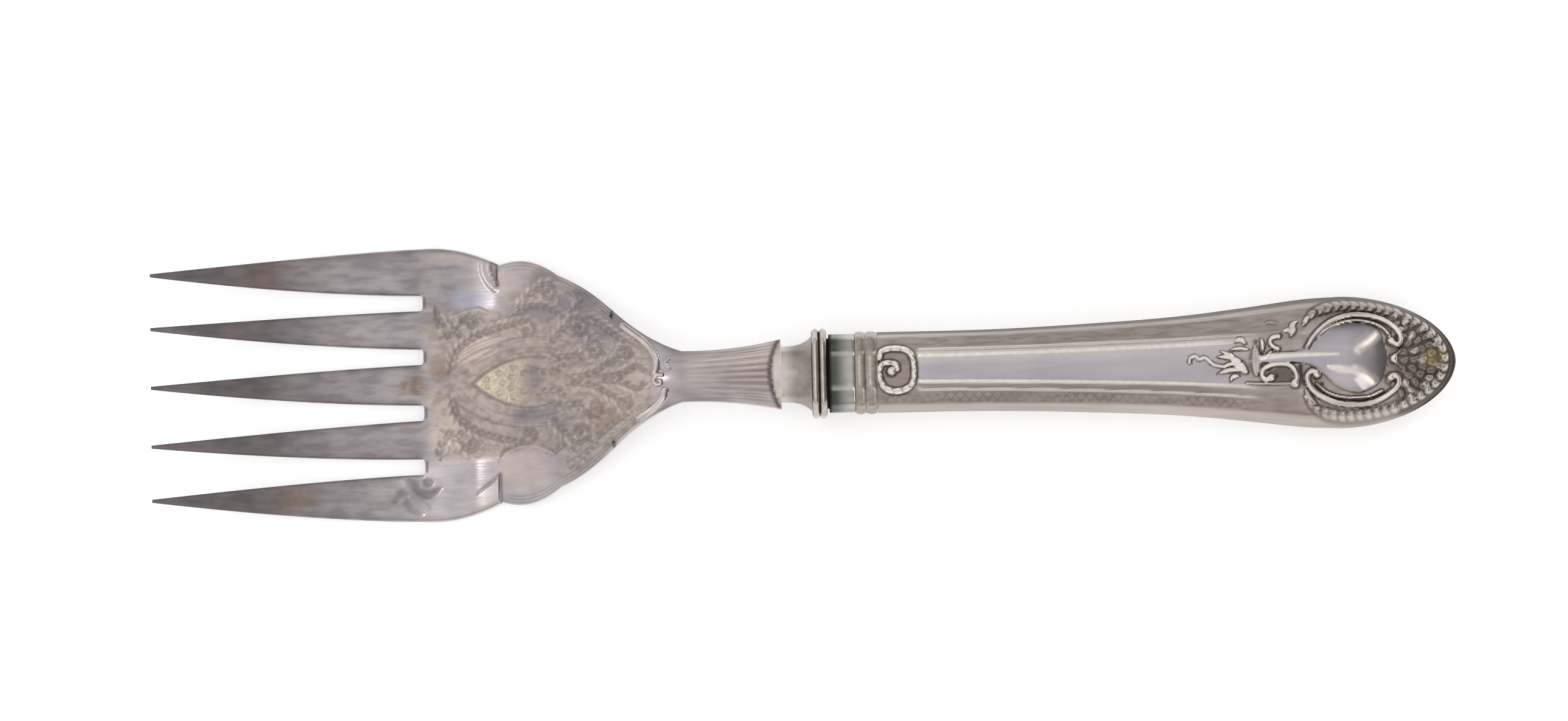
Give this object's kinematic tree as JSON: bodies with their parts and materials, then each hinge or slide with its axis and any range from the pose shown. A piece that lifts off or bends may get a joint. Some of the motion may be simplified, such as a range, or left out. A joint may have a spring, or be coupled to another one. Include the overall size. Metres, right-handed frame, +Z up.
{
  "type": "fish serving fork",
  "caption": "Broad flat-tined serving fork with a scalloped palm, a waisted stem and a filled, die-struck hollow handle, for lifting cooked fish.",
  "frame": {"origin": "under the middle of the fork's length and width, on the surface that it lies on", "axes": "+X along the fork from the tine tips to the handle's end, +Y across the tines, +Z up out of the ornamented front"},
  "size_m": [0.24, 0.0508, 0.0157],
  "materials": {
    "head_silver": "worn polished silver plate with engraving and a light tarnish",
    "bolster_silver": "plain polished silver",
    "ferrule_silver": "mirror-polished silver, darkened",
    "struck_silver": "die-struck silver, bright on the high points and tarnished in the ground",
    "tang_steel": "forged and left rough, inside the handle",
    "pitch": "set resin, inside the handle"
  },
  "bodies": {
    "root": {"fork_head": "head_silver", "bolster": "bolster_silver", "bolster_collar": "bolster_silver", "tang": "tang_steel", "ferrule": "ferrule_silver", "ferrule_band_front": "struck_silver", "ferrule_band_rear": "struck_silver", "handle_front_shell": "struck_silver", "handle_back_shell": "struck_silver", "pitch_core": "pitch"}
  },
  "joints": []
}
